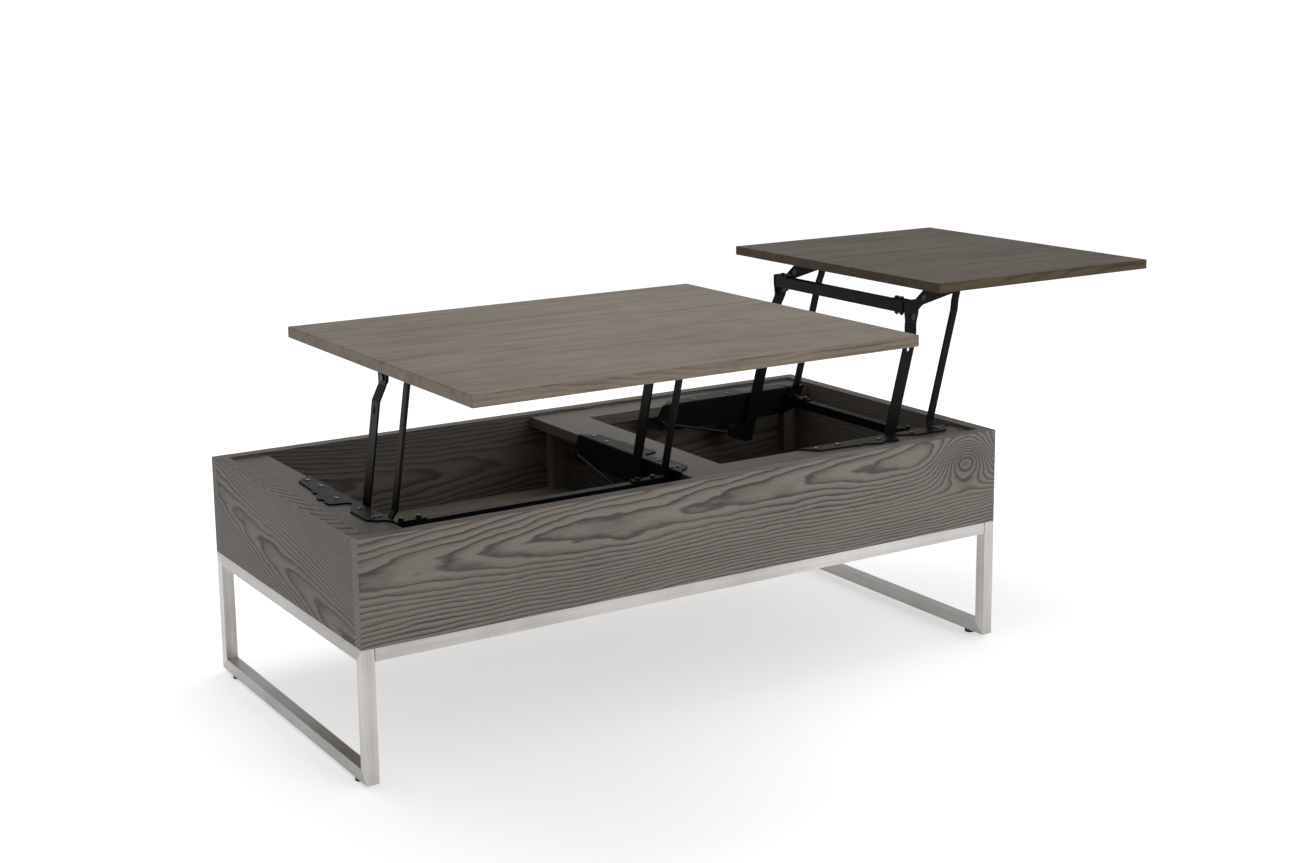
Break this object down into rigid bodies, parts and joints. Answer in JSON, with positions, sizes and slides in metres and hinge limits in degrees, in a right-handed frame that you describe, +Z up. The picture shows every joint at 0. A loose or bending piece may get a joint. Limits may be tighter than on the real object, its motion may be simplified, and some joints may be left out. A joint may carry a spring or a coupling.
{
  "type": "lift top coffee table",
  "caption": "Low rectangular coffee table with a box on two square tube leg frames and two lids of unequal length that rise and come forward on parallel-arm lift hinges",
  "frame": {"origin": "on the floor, under the middle of the box, where the centre lines of the box's length and depth cross", "axes": "+Z up; +X along the table toward the shorter lid; -Y toward the front, the side that the longer lid comes forward to"},
  "size_m": [1.5572, 0.9736, 0.6515],
  "materials": {
    "lid_veneer": "satin",
    "panel_veneer": "satin",
    "inner_board": "matte",
    "ledge_wood": "satin",
    "batten_wood": "matte",
    "leg_steel": "brushed",
    "foot_rubber": "matte",
    "screw_zinc": "satin",
    "spring_steel": "satin",
    "pin_steel": "satin",
    "black_steel": "satin"
  },
  "bodies": {
    "base": {"base_pins": "pin_steel", "bottom_board": "inner_board", "bracket_screws": "screw_zinc", "corner_battens": "batten_wood", "divider": "inner_board", "frame_screws": "screw_zinc", "front_ledge": "ledge_wood", "front_panel": "panel_veneer", "front_rail": "leg_steel", "left_floor_bar": "leg_steel", "left_front_post": "leg_steel", "left_ledge": "ledge_wood", "left_panel": "panel_veneer", "left_rear_post": "leg_steel", "left_top_bar": "leg_steel", "main_bracket_left": "black_steel", "main_bracket_right": "black_steel", "main_spring_left": "spring_steel", "main_spring_right": "spring_steel", "middle_board": "ledge_wood", "rear_ledge": "ledge_wood", "rear_panel": "panel_veneer", "rear_rail": "leg_steel", "right_floor_bar": "leg_steel", "right_front_post": "leg_steel", "right_panel": "panel_veneer", "right_rear_post": "leg_steel", "right_top_bar": "leg_steel", "rubber_feet": "foot_rubber", "side_bracket_front": "black_steel", "side_bracket_rear": "black_steel", "side_spring_front": "spring_steel", "side_spring_rear": "spring_steel"},
    "main_lift": {"main_lift_arm_left": "black_steel", "main_lift_arm_right": "black_steel", "main_upper_bar": "black_steel", "main_upper_bolts": "pin_steel"},
    "main_guide": {"main_guide_arm_left": "black_steel", "main_guide_arm_right": "black_steel", "main_lower_bar": "black_steel", "main_lower_bolts": "pin_steel"},
    "main_top": {"main_top_bracket_left": "black_steel", "main_top_bracket_right": "black_steel", "main_top_pins": "pin_steel", "main_lid_screws": "screw_zinc", "main_lid": "lid_veneer"},
    "side_lift": {"side_lift_arm_front": "black_steel", "side_lift_arm_rear": "black_steel", "side_upper_bar": "black_steel", "side_upper_bolts": "pin_steel"},
    "side_guide": {"side_guide_arm_front": "black_steel", "side_guide_arm_rear": "black_steel", "side_lower_bar": "black_steel", "side_lower_bolts": "pin_steel"},
    "side_top": {"side_top_bracket_front": "black_steel", "side_top_bracket_rear": "black_steel", "side_top_pins": "pin_steel", "side_lid_screws": "screw_zinc", "side_lid": "lid_veneer"}
  },
  "joints": [
    {"name": "main_lift_hinge", "type": "hinge", "parent": "base", "child": "main_lift", "pos_m": [-0.2585, -0.0883, 0.297], "axis": [-1, 0, 0], "range_deg": [0, 101.59]},
    {"name": "main_guide_hinge", "type": "hinge", "parent": "base", "child": "main_guide", "pos_m": [-0.2585, -0.1913, 0.342], "axis": [-1, 0, 0], "range_deg": [0, 101.59]},
    {"name": "main_top_hinge", "type": "hinge", "parent": "main_lift", "child": "main_top", "pos_m": [-0.2585, -0.17016, 0.57802], "axis": [-1, 0, 0], "range_deg": [-101.59, 0]},
    {"name": "side_lift_hinge", "type": "hinge", "parent": "base", "child": "side_lift", "pos_m": [0.4253, 0, 0.297], "axis": [0, -1, 0], "range_deg": [0, 100.16]},
    {"name": "side_guide_hinge", "type": "hinge", "parent": "base", "child": "side_guide", "pos_m": [0.5283, 0, 0.342], "axis": [0, -1, 0], "range_deg": [0, 100.16]},
    {"name": "side_top_hinge", "type": "hinge", "parent": "side_lift", "child": "side_top", "pos_m": [0.49872, 0, 0.57217], "axis": [0, -1, 0], "range_deg": [-100.16, 0]}
  ],
  "couplings": [
    {"joint": "main_guide_hinge", "follows": "main_lift_hinge", "ratio": 1},
    {"joint": "main_top_hinge", "follows": "main_lift_hinge", "ratio": -1},
    {"joint": "side_guide_hinge", "follows": "side_lift_hinge", "ratio": 1},
    {"joint": "side_top_hinge", "follows": "side_lift_hinge", "ratio": -1}
  ]
}
